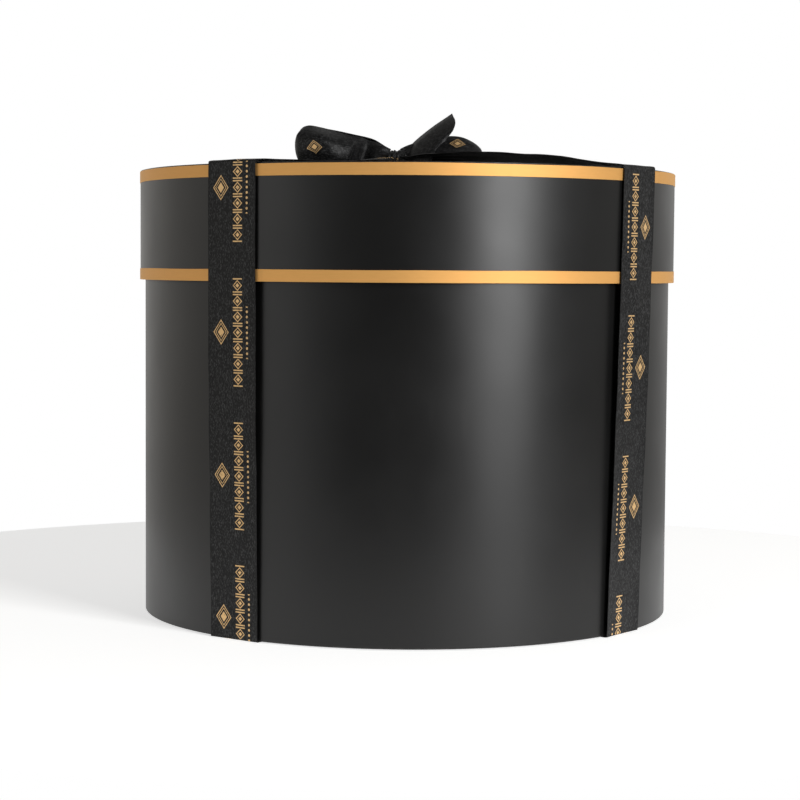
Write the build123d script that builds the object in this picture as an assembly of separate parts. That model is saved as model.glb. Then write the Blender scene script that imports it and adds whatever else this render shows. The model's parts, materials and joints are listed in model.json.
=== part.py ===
from build123d import *
import os

# Round hat box with a lift-off lid, tied with a crossed ribbon and a bow.
# Millimetres. The origin is the centre of the underside, on the surface the box stands on.
# +Z is up and the front is -Y. An azimuth is turned from the front towards +X, in degrees.

# Whole box
LID_RADIUS = 180.0
BOX_HEIGHT = 293.6
LID_HEIGHT = 72.3

# Board and paper
WALL_BOARD = 2.0
FLOOR_BOARD = 2.0
LID_BOARD = 1.8
PAPER = 0.3
TURN_IN = 12.0
LAP = 12.0
EDGE_MARGIN = 2.0
COVER_MARGIN = 1.7
TRIM_WIDTH = 8.0
FLOOR_RECESS = 1.5

# Ribbon
RIBBON_WIDTH = 38.0
RIBBON = 0.4
STRAP_A_AZIMUTH = -36.7
STRAP_B_AZIMUTH = 53.8
FRONT_RIGHT_LEAN = -9.0
FOLD_RISE = 1.5
GATHERED_WIDTH = 8.0
GATHER_LENGTH = 70.0
CROSSING_RAMP = 18.0
CROSSING_MARGIN = 1.0
# Height of each top run over the lid at the knot, at its crown and at its shoulder
RUN_HEIGHTS = {
    "front_left": (9.0, 7.0, 4.5),
    "front_right": (11.0, 12.5, 7.0),
    "back_right": (8.0, 6.5, 4.0),
    "back_left": (8.0, 6.5, 4.0),
}
CROWN_AT = 0.45
SHOULDER_AT = 0.83

# Bow, with heights over the lid
KNOT_X = -8.5
KNOT_Y = 0.0
KNOT_RADIUS = 6.0
KNOT_LOW = 4.0
KNOT_HIGH = 16.5
KNOT_ROUNDING = 3.5
LOOP_ROUND = 11.0
LOOP_PINCH = 2.0
LOOP_LOW = 7.0
LOOP_PINCH_LOW = 13.5
LOOP_SPREAD_AT = 0.4
LOOP_LOW_AT = 0.75
LEFT_LOOP_AZIMUTH = -90.0
LEFT_LOOP_REACH = 67.0
LEFT_LOOP_TOP = 33.0
RIGHT_LOOP_AZIMUTH = 98.0
RIGHT_LOOP_REACH = 58.0
RIGHT_LOOP_TOP = 26.0
RAISED_TAIL_WIDTH = 24.0
RAISED_TAIL_LENGTH = 40.0
RAISED_TAIL_ROOT = 3.0
RAISED_TAIL_START = (6.4, -5.0, 13.5)
RAISED_TAIL_ALONG = (33.0, -8.0, 20.0)
RAISED_TAIL_FACING = (0.35, -1.0, 0.45)
BACK_TAIL_AZIMUTH = 188.0
BACK_TAIL_LENGTH = 90.0
BACK_TAIL_START = 13.0
BACK_TAIL_BEND = 9.5
BACK_TAIL_LIP = 6.0
# Ribbon widths from the knot to where the back tail has passed the top runs beside it
CLEAR_OF_RUNS = 1.42

# Clearances
LID_CLEARANCE = 0.6
LID_SEAT = 0.2
RIBBON_CLEARANCE = 0.3
CROSSING_CLEARANCE = 0.1
BOW_CLEARANCE = 0.4
LINING_MARGIN = 0.5

# Radii, worked inwards from the lid
rim_wrap_radius = LID_RADIUS - PAPER
rim_outer = rim_wrap_radius - PAPER
rim_inner = rim_outer - LID_BOARD
base_radius = rim_inner - 2 * PAPER - LID_CLEARANCE
wall_outer = base_radius - PAPER
wall_inner = wall_outer - WALL_BOARD

# Heights, worked up from the surface the box stands on
foot = RIBBON
wall_bottom = foot + PAPER
floor_under = wall_bottom + FLOOR_RECESS
floor_top = floor_under + FLOOR_BOARD
lid_top = foot + BOX_HEIGHT
lid_board_top = lid_top - 2 * PAPER
lid_board_under = lid_board_top - LID_BOARD
lid_bottom = lid_top - LID_HEIGHT
rim_bottom = lid_bottom + PAPER
wall_top = lid_board_under - PAPER - LID_SEAT - PAPER

# Ribbon lines
leg_radius = LID_RADIUS + RIBBON_CLEARANCE
leg_foot_radius = base_radius + RIBBON_CLEARANCE
leg_top = lid_top + FOLD_RISE
leg_bottom = foot + RIBBON_CLEARANCE
foot_reach = leg_foot_radius + RIBBON
knot_edge = KNOT_RADIUS + BOW_CLEARANCE
knot_centre = Pos(KNOT_X, KNOT_Y, 0)


def sheet_outline(path, thickness):
    """Outline of a sheet of even thickness laid on the left-hand side of a path."""
    points = [Vector(*point) for point in path]
    runs = [(end - start).normalized() for start, end in zip(points, points[1:])]
    sides = [Vector(-run.Y, run.X) for run in runs]
    before = [sides[0]] + sides
    after = sides + [sides[-1]]
    far_side = []
    for point, side_in, side_out in zip(points, before, after):
        mitre = (side_in + side_out) * (thickness / (1 + side_in.dot(side_out)))
        far_side.append(point + mitre)
    return points + far_side[::-1]


def turned(outline):
    """Solid of revolution about Z from an outline in radius and height."""
    return revolve(make_face(Plane.XZ * Polyline(*outline, close=True)), Axis.Z)


def turned_sheet(path):
    """Paper laid along a path in radius and height, right round the box."""
    return turned(sheet_outline(path, PAPER))


def turned_block(inner, outer, low, high):
    """Disc or ring with a rectangular section."""
    return turned([(inner, low), (outer, low), (outer, high), (inner, high)])


def strip(path, width):
    """Ribbon along a path in X and Z, level across its width."""
    face = make_face(Plane.XZ * Polyline(*sheet_outline(path, RIBBON), close=True))
    return extrude(face, amount=width / 2, both=True)


def gathered(length):
    """Room that a ribbon takes as it leaves the knot gathered and spreads to its width."""
    half_knot = GATHERED_WIDTH / 2
    half_width = RIBBON_WIDTH / 2
    spread = min(GATHER_LENGTH, length / 2)
    plan = [
        (0, -half_knot),
        (spread, -half_width),
        (length, -half_width),
        (length, half_width),
        (spread, half_width),
        (0, half_knot),
    ]
    return extrude(make_face(Polyline(*plan, close=True)), amount=2 * BOX_HEIGHT, both=True)


def facing(azimuth):
    """Turn from local X outwards to an azimuth."""
    return Rot(0, 0, azimuth - 90)


def base_parts():
    """The base: a tube on a recessed floor, wrapped outside and lined inside."""
    wrap_path = [
        (wall_inner, wall_top - TURN_IN),
        (wall_inner, wall_top),
        (wall_outer, wall_top),
        (wall_outer, wall_bottom),
        (wall_inner, wall_bottom),
        (wall_inner, floor_under),
        (wall_inner - TURN_IN, floor_under),
    ]
    lap_ring = turned_block(base_radius - PAPER / 2, base_radius + PAPER, wall_bottom, wall_top)
    lap = lap_ring & Pos(0, base_radius, BOX_HEIGHT / 2) * Box(LAP, LAP, BOX_HEIGHT)
    cover_path = [
        (wall_inner - PAPER - COVER_MARGIN, floor_under - PAPER),
        (wall_inner - TURN_IN, floor_under - PAPER),
        (wall_inner - TURN_IN, floor_under),
        (0, floor_under),
    ]
    lining_path = [
        (wall_inner, floor_top),
        (wall_inner, wall_top - TURN_IN),
        (wall_inner - PAPER, wall_top - TURN_IN),
        (wall_inner - PAPER, wall_top - EDGE_MARGIN),
    ]
    floor_lining_radius = wall_inner - PAPER - LINING_MARGIN
    return {
        "base_wall_board": turned_block(wall_inner, wall_outer, wall_bottom, wall_top),
        "base_bottom_board": turned_block(0, wall_inner, floor_under, floor_top),
        "base_outer_wrap": turned_sheet(wrap_path) + lap,
        "base_bottom_cover": turned_sheet(cover_path),
        "base_wall_lining": turned_sheet(lining_path),
        "base_floor_lining": turned_block(0, floor_lining_radius, floor_top, floor_top + PAPER),
    }


def lid_parts():
    """The lid: a disc inside a deep rim, covered, lined and edged with two bands."""
    wrap_path = [
        (rim_outer - TURN_IN, lid_board_top),
        (rim_outer, lid_board_top),
        (rim_outer, rim_bottom),
        (rim_inner, rim_bottom),
        (rim_inner, rim_bottom + TURN_IN),
    ]
    cover_path = [
        (0, lid_board_top),
        (rim_outer - TURN_IN, lid_board_top),
        (rim_outer - TURN_IN, lid_board_top + PAPER),
        (rim_outer - COVER_MARGIN, lid_board_top + PAPER),
    ]
    lining_path = [
        (rim_inner - PAPER, rim_bottom + EDGE_MARGIN),
        (rim_inner - PAPER, rim_bottom + TURN_IN),
        (rim_inner, rim_bottom + TURN_IN),
        (rim_inner, lid_board_under),
    ]
    band_top = lid_top - PAPER
    top_lining_radius = rim_inner - PAPER - LINING_MARGIN
    return {
        "lid_rim_board": turned_block(rim_inner, rim_outer, rim_bottom, lid_board_top),
        "lid_top_board": turned_block(0, rim_inner, lid_board_under, lid_board_top),
        "lid_rim_wrap": turned_sheet(wrap_path),
        "lid_top_cover": turned_sheet(cover_path),
        "lid_top_trim": turned_block(rim_wrap_radius, LID_RADIUS, band_top - TRIM_WIDTH, band_top),
        "lid_bottom_trim": turned_block(
            rim_wrap_radius, LID_RADIUS, lid_bottom, lid_bottom + TRIM_WIDTH
        ),
        "lid_rim_lining": turned_sheet(lining_path),
        "lid_top_lining": turned_block(
            0, top_lining_radius, lid_board_under - PAPER, lid_board_under
        ),
    }


def ribbon_leg(azimuth, lean):
    """One leg, down the lid's rim and then in to the foot of the base."""
    path = [(leg_radius, leg_top), (leg_radius, lid_bottom), (leg_foot_radius, leg_bottom)]
    half = RIBBON_WIDTH / 2
    front_view = [
        (-half, leg_top),
        (half, leg_top),
        (half + lean, leg_bottom),
        (-half + lean, leg_bottom),
    ]
    view = make_face(Plane.YZ * Polyline(*front_view, close=True))
    sight = extrude(view, amount=2 * LID_RADIUS, both=True)
    return facing(azimuth) * (strip(path, RIBBON_WIDTH + 2 * abs(lean)) & sight)


def under_run(start, end, rise):
    """Ribbon under the base between two feet, which may step up over the other run."""
    span = end - start
    half = span.length / 2
    flat = RIBBON_WIDTH / 2 + CROSSING_MARGIN
    path = [
        (-half, 0),
        (-flat - CROSSING_RAMP, 0),
        (-flat, rise),
        (flat, rise),
        (flat + CROSSING_RAMP, 0),
        (half, 0),
    ]
    middle = Plane(origin=(start + end) * 0.5, x_dir=span, z_dir=(0, 0, 1))
    return middle * strip(path, RIBBON_WIDTH)


def top_run(azimuth, knot_height, crown, shoulder):
    """Ribbon from the knot to the fold at the lid's rim."""
    knot = Vector(KNOT_X, KNOT_Y, 0)
    rim = Vector(leg_radius, 0, 0).rotate(Axis.Z, azimuth - 90)
    span = rim - knot
    reach = span.length
    overrun = reach + FOLD_RISE + RIBBON_WIDTH / 10
    path = [
        (knot_edge, lid_top + knot_height),
        (reach * CROWN_AT, lid_top + crown),
        (reach * SHOULDER_AT, lid_top + shoulder),
        (reach, leg_top),
        (overrun, leg_top),
    ]
    run = strip(path, RIBBON_WIDTH) & gathered(overrun)
    placed = Plane(origin=knot, x_dir=span, z_dir=(0, 0, 1)) * run
    beyond = Pos(leg_radius + LID_RADIUS, 0, lid_top) * Box(2 * LID_RADIUS, 2 * LID_RADIUS, LID_HEIGHT)
    return placed - facing(azimuth) * beyond


def bow_knot():
    """The knot, standing over the crossing."""
    knot = Cylinder(KNOT_RADIUS, KNOT_HIGH - KNOT_LOW)
    knot = fillet(knot.edges(), KNOT_ROUNDING)
    return knot_centre * Pos(0, 0, lid_top + (KNOT_LOW + KNOT_HIGH) / 2) * knot


def bow_loop(azimuth, reach, top):
    """One loop of the bow: a standing teardrop band, pinched at the knot."""
    pinch = Pos(knot_edge + LOOP_PINCH, 0) * Circle(LOOP_PINCH)
    round_end = Pos(reach - LOOP_ROUND, 0) * Circle(LOOP_ROUND)
    outline = make_hull((pinch + round_end).edges())
    band = extrude(outline - offset(outline, -RIBBON), amount=2 * BOX_HEIGHT)
    side_view = [
        (0, LOOP_PINCH_LOW),
        (reach * LOOP_SPREAD_AT, LOOP_PINCH_LOW),
        (reach * LOOP_LOW_AT, LOOP_LOW),
        (reach + LOOP_ROUND, LOOP_LOW),
        (reach + LOOP_ROUND, top),
        (reach * LOOP_SPREAD_AT, top),
        (0, KNOT_HIGH),
    ]
    view = Pos(0, 0, lid_top) * make_face(Plane.XZ * Polyline(*side_view, close=True))
    return knot_centre * facing(azimuth) * (band & extrude(view, amount=LID_RADIUS, both=True))


def raised_tail():
    """The tail that stands up to the right in front of the right loop, cut on a slant."""
    start = knot_centre * Pos(0, 0, lid_top) * Pos(*RAISED_TAIL_START)
    along = Vector(*RAISED_TAIL_ALONG)
    across = Vector(*RAISED_TAIL_FACING).cross(along)
    plane = Plane(origin=start.position, x_dir=along, z_dir=along.cross(across))
    half_root = RAISED_TAIL_ROOT / 2
    half_width = RAISED_TAIL_WIDTH / 2
    outline = [
        (0, -half_root),
        (RAISED_TAIL_LENGTH / 2, -half_width * 0.8),
        (RAISED_TAIL_LENGTH * 0.86, -half_width * 0.9),
        (RAISED_TAIL_LENGTH, half_width * 0.4),
        (RAISED_TAIL_LENGTH * 0.96, half_width * 0.9),
        (RAISED_TAIL_LENGTH / 2, half_width * 0.4),
        (0, half_root),
    ]
    return extrude(plane * make_face(Polyline(*outline, close=True)), amount=RIBBON)


def back_tail():
    """The tail that falls back over the runs and onto the lid."""
    clear = CLEAR_OF_RUNS * RIBBON_WIDTH
    path = [
        (knot_edge, lid_top + BACK_TAIL_START),
        (clear / 2, lid_top + BACK_TAIL_BEND),
        (clear, lid_top + BACK_TAIL_LIP),
        ((clear + BACK_TAIL_LENGTH) / 2, lid_top + RIBBON_CLEARANCE),
        (BACK_TAIL_LENGTH, lid_top + RIBBON_CLEARANCE),
    ]
    tail = strip(path, RIBBON_WIDTH) & gathered(BACK_TAIL_LENGTH)
    return knot_centre * facing(BACK_TAIL_AZIMUTH) * tail


def ribbon_parts():
    """The ribbon: a cross under the base, four legs, four top runs and the bow."""
    azimuths = {
        "front_left": STRAP_A_AZIMUTH,
        "front_right": STRAP_B_AZIMUTH,
        "back_right": STRAP_A_AZIMUTH + 180,
        "back_left": STRAP_B_AZIMUTH + 180,
    }
    parts = {}
    feet = {}
    for name, azimuth in azimuths.items():
        lean = FRONT_RIGHT_LEAN if name == "front_right" else 0.0
        parts[f"ribbon_leg_{name}"] = ribbon_leg(azimuth, lean)
        parts[f"ribbon_top_run_{name}"] = top_run(azimuth, *RUN_HEIGHTS[name])
        feet[name] = Vector(foot_reach, lean, 0).rotate(Axis.Z, azimuth - 90)
    step = RIBBON + CROSSING_CLEARANCE
    parts["ribbon_under_run_a"] = under_run(feet["front_left"], feet["back_right"], 0)
    parts["ribbon_under_run_b"] = under_run(feet["back_left"], feet["front_right"], step)
    parts["bow_knot"] = bow_knot()
    parts["bow_loop_left"] = bow_loop(LEFT_LOOP_AZIMUTH, LEFT_LOOP_REACH, LEFT_LOOP_TOP)
    parts["bow_loop_right"] = bow_loop(RIGHT_LOOP_AZIMUTH, RIGHT_LOOP_REACH, RIGHT_LOOP_TOP)
    parts["bow_tail_right"] = raised_tail()
    parts["bow_tail_back"] = back_tail()
    return parts


os.makedirs("parts", exist_ok=True)
for node, shape in {**base_parts(), **lid_parts(), **ribbon_parts()}.items():
    export_step(shape, f"parts/{node}.step")
    print(node, round(shape.volume, 1))
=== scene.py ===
import json
from math import cos, pi, radians, sin

import bmesh
import bpy
from mathutils import Matrix, Vector, noise


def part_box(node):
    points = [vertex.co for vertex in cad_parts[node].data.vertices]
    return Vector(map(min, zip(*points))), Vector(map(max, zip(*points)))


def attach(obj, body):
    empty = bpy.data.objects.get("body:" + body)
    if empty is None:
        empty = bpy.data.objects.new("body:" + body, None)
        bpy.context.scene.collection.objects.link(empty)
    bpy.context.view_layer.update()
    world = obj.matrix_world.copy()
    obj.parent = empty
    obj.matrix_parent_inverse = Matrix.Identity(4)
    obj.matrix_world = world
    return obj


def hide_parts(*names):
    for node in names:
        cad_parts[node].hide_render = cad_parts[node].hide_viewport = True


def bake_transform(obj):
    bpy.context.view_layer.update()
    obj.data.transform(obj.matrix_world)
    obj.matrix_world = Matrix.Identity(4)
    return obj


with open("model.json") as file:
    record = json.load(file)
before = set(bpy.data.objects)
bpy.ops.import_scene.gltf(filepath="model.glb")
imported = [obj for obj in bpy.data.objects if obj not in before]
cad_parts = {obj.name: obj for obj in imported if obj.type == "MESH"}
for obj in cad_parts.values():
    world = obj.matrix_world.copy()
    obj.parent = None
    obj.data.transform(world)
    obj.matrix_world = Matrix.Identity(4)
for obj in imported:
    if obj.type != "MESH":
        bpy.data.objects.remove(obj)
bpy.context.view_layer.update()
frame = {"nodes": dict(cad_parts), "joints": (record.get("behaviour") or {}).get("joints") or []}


# Camera
# A long lens a metre and a half in front of the box. It stands a little lower than the lid and
# is tipped down by a few degrees, so that the lid's top isn't seen.
CAMERA_PLACE = (-0.0041, -1.4544, 0.2315)
CAMERA_TIP = 0.0625
CAMERA_ROLL = 0.0068
CAMERA_LENS = 96.12

lens = bpy.data.cameras.new("camera")
lens.lens = CAMERA_LENS
camera = bpy.data.objects.new("camera", lens)
bpy.context.scene.collection.objects.link(camera)
camera.matrix_world = (
    Matrix.Translation(CAMERA_PLACE)
    @ Matrix.Rotation(pi / 2 - CAMERA_TIP, 4, "X")
    @ Matrix.Rotation(CAMERA_ROLL, 4, "Z")
)
bpy.context.scene.camera = camera


# Studio
# White all round what the lens sees. The gloss of the paper mirrors a room that is dark overhead
# and behind the camera, with a weak light to the camera's left and a tall soft one to its right.
FLOOR_RADIUS = 0.52
FLOOR_SIDES = 96
FLOOR_ROUGHNESS = 0.9
FLOOR_GAP = 0.0002
FLOOR_WHITE = (0.86, 0.86, 0.85, 1)
FLOOR_GLOW = 0.50
FLOOR_GLOW_SEEN = 0.62
# The room's colour at turns about the box, in degrees to the right of the camera
ROOM_TURNS = [
    (-180, (1.0, 0.99, 0.97)),
    (-120, (0.80, 0.77, 0.72)),
    (-92, (0.72, 0.69, 0.64)),
    (-68, (1.15, 1.13, 1.09)),
    (-54, (1.30, 1.29, 1.27)),
    (-38, (0.46, 0.46, 0.46)),
    (-24, (0.10, 0.10, 0.10)),
    (20, (0.06, 0.06, 0.063)),
    (62, (0.22, 0.22, 0.22)),
    (95, (0.42, 0.41, 0.39)),
    (180, (1.0, 0.99, 0.97)),
]
ROOM_BELOW = 0.50
ROOM_ABOVE = 1.15
ROOM_OVERHEAD = 0.16
ROOM_HORIZON = 0.12
ROOM_CEILING = (0.16, 0.50)
SOFTBOX_TURN = radians(39.6)
SOFTBOX_AWAY = 2.0
SOFTBOX_HEIGHT = 1.05
SOFTBOX_SIZE = (0.70, 1.9)
SOFTBOX_POWER = 44.0


def add_node(tree, kind, plugs=None, **settings):
    """A shader node with its own settings, and its inputs plugged into a socket or given a value."""
    made = tree.nodes.new(kind)
    for setting, value in settings.items():
        setattr(made, setting, value)
    for name, value in (plugs or {}).items():
        if isinstance(value, bpy.types.NodeSocket):
            tree.links.new(value, made.inputs[name])
        else:
            made.inputs[name].default_value = value
    return made


def reckon(tree, operation, *terms, clamp=False):
    """The result of one Math node."""
    plugs = dict(enumerate(terms))
    return add_node(tree, "ShaderNodeMath", plugs, operation=operation, use_clamp=clamp).outputs[0]


def ramp(tree, position, stops):
    """The colour at a position, 0 to 1, between stops of position and colour."""
    made = add_node(tree, "ShaderNodeValToRGB", {"Fac": position})
    elements = made.color_ramp.elements
    while len(elements) < len(stops):
        elements.new(0.5)
    for element, (place, colour) in zip(elements, stops):
        element.position = place
        element.color = (*colour, 1)
    return made.outputs["Color"]


room = bpy.data.worlds.new("studio")
bpy.context.scene.world = room
room.use_nodes = True
tree = room.node_tree
tree.nodes.clear()
way = add_node(tree, "ShaderNodeTexCoord").outputs["Generated"]
parts = add_node(tree, "ShaderNodeSeparateXYZ", {0: way}).outputs
turn = reckon(tree, "ARCTAN2", parts["X"], reckon(tree, "MULTIPLY", parts["Y"], -1.0))
turn = reckon(tree, "MULTIPLY_ADD", turn, 0.5 / pi, 0.5)
room_stops = [(0.5 + angle / 360, colour) for angle, colour in ROOM_TURNS]
rise = add_node(
    tree,
    "ShaderNodeMapRange",
    {
        "Value": parts["Z"],
        "From Min": -ROOM_HORIZON,
        "From Max": ROOM_HORIZON,
        "To Min": ROOM_BELOW,
        "To Max": ROOM_ABOVE,
    },
).outputs["Result"]
overhead = add_node(
    tree,
    "ShaderNodeMapRange",
    {
        "Value": parts["Z"],
        "From Min": ROOM_CEILING[0],
        "From Max": ROOM_CEILING[1],
        "To Min": 1.0,
        "To Max": ROOM_OVERHEAD,
    },
).outputs["Result"]
room_glow = reckon(tree, "MULTIPLY", rise, overhead)
room_colour = ramp(tree, turn, room_stops)
walls = add_node(tree, "ShaderNodeBackground", {"Color": room_colour, "Strength": room_glow})
white = add_node(tree, "ShaderNodeBackground", {"Color": (1, 1, 1, 1)})
seen = add_node(tree, "ShaderNodeLightPath").outputs["Is Camera Ray"]
mixed = add_node(tree, "ShaderNodeMixShader", {0: seen, 1: walls.outputs[0], 2: white.outputs[0]})
add_node(tree, "ShaderNodeOutputWorld", {"Surface": mixed.outputs[0]})
bpy.context.scene.view_settings.view_transform = "Standard"

floor_mesh = bpy.data.meshes.new("floor")
shape = bmesh.new()
bmesh.ops.create_circle(
    shape,
    cap_ends=True,
    segments=FLOOR_SIDES,
    radius=FLOOR_RADIUS,
    matrix=Matrix.Translation((0, 0, -FLOOR_GAP)),
)
shape.to_mesh(floor_mesh)
shape.free()
floor = bpy.data.objects.new("floor", floor_mesh)
bpy.context.scene.collection.objects.link(floor)
floor_white = bpy.data.materials.new("floor_white")
floor_white.use_nodes = True
floor_shader = floor_white.node_tree.nodes["Principled BSDF"]
floor_shader.inputs["Base Color"].default_value = FLOOR_WHITE
floor_shader.inputs["Roughness"].default_value = FLOOR_ROUGHNESS
floor_shader.inputs["Emission Color"].default_value = (1, 1, 1, 1)
floor_seen = add_node(floor_white.node_tree, "ShaderNodeLightPath").outputs["Is Camera Ray"]
floor_glow = reckon(
    floor_white.node_tree, "MULTIPLY_ADD", floor_seen, FLOOR_GLOW_SEEN - FLOOR_GLOW, FLOOR_GLOW
)
floor_white.node_tree.links.new(floor_glow, floor_shader.inputs["Emission Strength"])
floor_mesh.materials.append(floor_white)

softbox = bpy.data.lights.new("softbox", "AREA")
softbox.shape = "RECTANGLE"
softbox.size, softbox.size_y = SOFTBOX_SIZE
softbox.energy = SOFTBOX_POWER
softbox_place = Vector(
    (SOFTBOX_AWAY * sin(SOFTBOX_TURN), -SOFTBOX_AWAY * cos(SOFTBOX_TURN), SOFTBOX_HEIGHT)
)
softbox_object = bpy.data.objects.new("softbox", softbox)
bpy.context.scene.collection.objects.link(softbox_object)
aim = Vector((-softbox_place.x, -softbox_place.y, 0))
softbox_object.matrix_world = (
    Matrix.Translation(softbox_place) @ aim.to_track_quat("-Z", "Y").to_matrix().to_4x4()
)


# Greyboard
# The box's stiff parts: a rolled tube with a floor pushed into it, and a lid disc in a rolled
# rim. They are grey recycled board, glued edge to edge and then covered with paper all over.
BOARD_COLOURS = [(0.30, (0.30, 0.275, 0.24)), (0.70, (0.46, 0.43, 0.385))]
PULP_SPOT = 0.004
FIBRE_SPOT = 0.0009
FIBRE_RELIEF = 0.00008


def new_group(name, inputs, outputs):
    """A shader node group with number sockets, and the sockets inside it to read and to plug into."""
    group = bpy.data.node_groups.new(name, "ShaderNodeTree")
    for title, start in inputs.items():
        socket = group.interface.new_socket(title, in_out="INPUT", socket_type="NodeSocketFloat")
        socket.default_value = start
    for title in outputs:
        group.interface.new_socket(title, in_out="OUTPUT", socket_type="NodeSocketFloat")
    given = group.nodes.new("NodeGroupInput").outputs
    result = group.nodes.new("NodeGroupOutput").inputs
    return group, given, result


def object_noise(tree, size, detail=3.0, stretch=(1, 1, 1)):
    """Noise on Object coordinates, with spots about a given size in metres across."""
    place = add_node(tree, "ShaderNodeTexCoord").outputs["Object"]
    placed = add_node(tree, "ShaderNodeMapping", {"Vector": place, "Scale": stretch}).outputs[0]
    plugs = {"Vector": placed, "Scale": 1 / size, "Detail": detail}
    return add_node(tree, "ShaderNodeTexNoise", plugs).outputs["Fac"]


def smooth_step(tree, value, low, high):
    """0 below low, 1 above high and smooth between."""
    plugs = {"Value": value, "From Min": low, "From Max": high}
    made = add_node(tree, "ShaderNodeMapRange", plugs, interpolation_type="SMOOTHSTEP")
    return made.outputs["Result"]


def mix_colours(tree, share, first, second):
    """One colour laid over another."""
    made = add_node(tree, "ShaderNodeMix", data_type="RGBA")
    for socket, value in ((made.inputs[0], share), (made.inputs[6], first), (made.inputs[7], second)):
        if isinstance(value, bpy.types.NodeSocket):
            tree.links.new(value, socket)
        else:
            socket.default_value = value if socket is made.inputs[0] else (*value, 1)
    return made.outputs[2]


def new_material(name, **finish):
    """A material with one Principled shader, and its plain values set on it."""
    material = bpy.data.materials.new(name)
    material.use_nodes = True
    shader = material.node_tree.nodes["Principled BSDF"]
    for socket, value in finish.items():
        shader.inputs[socket.replace("_", " ")].default_value = value
    return material, material.node_tree, shader


def raise_relief(tree, shader, height):
    """Gives a shader the bumps of a height in metres."""
    bump = add_node(tree, "ShaderNodeBump", {"Height": height, "Distance": 1.0, "Strength": 1.0})
    tree.links.new(bump.outputs["Normal"], shader.inputs["Normal"])


greyboard, tree, shader = new_material("greyboard", Roughness=0.9, Specular_IOR_Level=0.25)
pulp = object_noise(tree, PULP_SPOT, 6.0)
fibres = object_noise(tree, FIBRE_SPOT, 2.0, (1, 1, 0.25))
tree.links.new(ramp(tree, pulp, BOARD_COLOURS), shader.inputs["Base Color"])
raise_relief(tree, shader, reckon(tree, "MULTIPLY", fibres, FIBRE_RELIEF))
for node in ("base_wall_board", "base_bottom_board", "lid_rim_board", "lid_top_board"):
    frame["nodes"][node].data.materials.clear()
    frame["nodes"][node].data.materials.append(greyboard)


# Base wrap
# One sheet of black paper with a silk laminate, rolled round the tube and lapped at the back.
# It is turned in over the tube's mouth, and under the foot onto the floor.
PAPER = 0.0003
TURN_IN = 0.012
LAP = 0.012
LAP_SHORT = 0.001
PAPER_FOLD = 0.0005
HOLD = 0.0012
TURNS = 256
SHARP_TURN = radians(40)
BLACK_PAPER = (0.0044, 0.0043, 0.0042)
WORN_PAPER = (0.05, 0.048, 0.045)
SILK_ROUGHNESS = 0.36
MOTTLE_ROUGHNESS = 0.22
WORN_ROUGHNESS = 0.25
SCUFF_SHARE = 0.10
MOTTLE_SPOT = 0.045
CLOUD_SPOT = 0.22
RUB_SPOT = 0.012
RUB_PLACE = 0.09
WAVE_SPOT = 0.055
WAVE_DEPTH = 0.00022
CRACK_SPOT = 0.004

wall_low, wall_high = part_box("base_wall_board")
wall_outer = wall_high.x
wall_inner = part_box("base_bottom_board")[1].x
floor_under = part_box("base_bottom_board")[0].z
floor_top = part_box("base_bottom_board")[1].z


def finish_piece(name, shape, materials, thickness, body, slot, nodes):
    """Makes a mesh into a piece of the given thickness, which rides on a body and stands for nodes."""
    mesh = bpy.data.meshes.new(name)
    shape.to_mesh(mesh)
    shape.free()
    piece = bpy.data.objects.new(name, mesh)
    bpy.context.scene.collection.objects.link(piece)
    for material in materials:
        mesh.materials.append(material)
    wall = piece.modifiers.new("thickness", "SOLIDIFY")
    wall.thickness = thickness
    wall.use_even_offset = slot != "ribbon"
    wall.material_offset = len(materials) - 1
    shown = piece.evaluated_get(bpy.context.evaluated_depsgraph_get())
    piece.data = bpy.data.meshes.new_from_object(shown)
    piece.data.name = name
    piece.modifiers.clear()
    bpy.data.meshes.remove(mesh)
    for face in piece.data.polygons:
        face.use_smooth = True
    piece.data.set_sharp_from_angle(angle=SHARP_TURN)
    if body:
        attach(piece, body)
    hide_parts(*nodes)
    return piece


def turned_paper(path, fold=PAPER_FOLD, turn=2 * pi, start=0.0):
    """Paper laid right round the box: a path in radius and height, folded softly at its corners."""
    shape = bmesh.new()
    rows = []
    folds = []
    for point, after in zip(path, path[1:]):
        corner, run = Vector(point), Vector(after) - Vector(point)
        hold = run.normalized() * HOLD
        folds.append(len(rows))
        rows += [corner] if run.length < 3 * HOLD else [corner, corner + hold, corner + run - hold]
    rows.append(Vector(path[-1]))
    corners = [shape.verts.new((row.x, 0, row.y)) for row in rows]
    for pair in zip(corners, corners[1:]):
        shape.edges.new(pair)
    if fold and len(path) > 2:
        bmesh.ops.bevel(
            shape,
            geom=[corners[at] for at in folds[1:]],
            affect="VERTICES",
            offset=fold,
            segments=4,
            profile=0.5,
            material=-1,
        )
    bmesh.ops.rotate(shape, verts=shape.verts, matrix=Matrix.Rotation(start, 3, "Z"))
    full = turn >= 2 * pi
    bmesh.ops.spin(
        shape,
        geom=shape.verts[:] + shape.edges[:],
        cent=(0, 0, 0),
        axis=(0, 0, 1),
        angle=turn,
        steps=TURNS if full else max(4, round(TURNS * turn / (2 * pi))),
        use_merge=full,
    )
    bmesh.ops.remove_doubles(shape, verts=shape.verts, dist=1e-5)
    bmesh.ops.recalc_face_normals(shape, faces=shape.faces)
    return shape


def add_lap(shape, radius, rise, low, high):
    """Lays a sheet's lapped end over its start, behind the box and raised off the sheet's radius."""
    turn = LAP / radius
    path = [(radius + rise, low), (radius + rise, high)]
    lap = turned_paper(path, turn=turn, start=pi / 2 - turn / 2)
    lap_mesh = bpy.data.meshes.new("lap")
    lap.to_mesh(lap_mesh)
    lap.free()
    shape.from_mesh(lap_mesh)
    bpy.data.meshes.remove(lap_mesh)
    bmesh.ops.recalc_face_normals(shape, faces=shape.faces)


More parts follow.
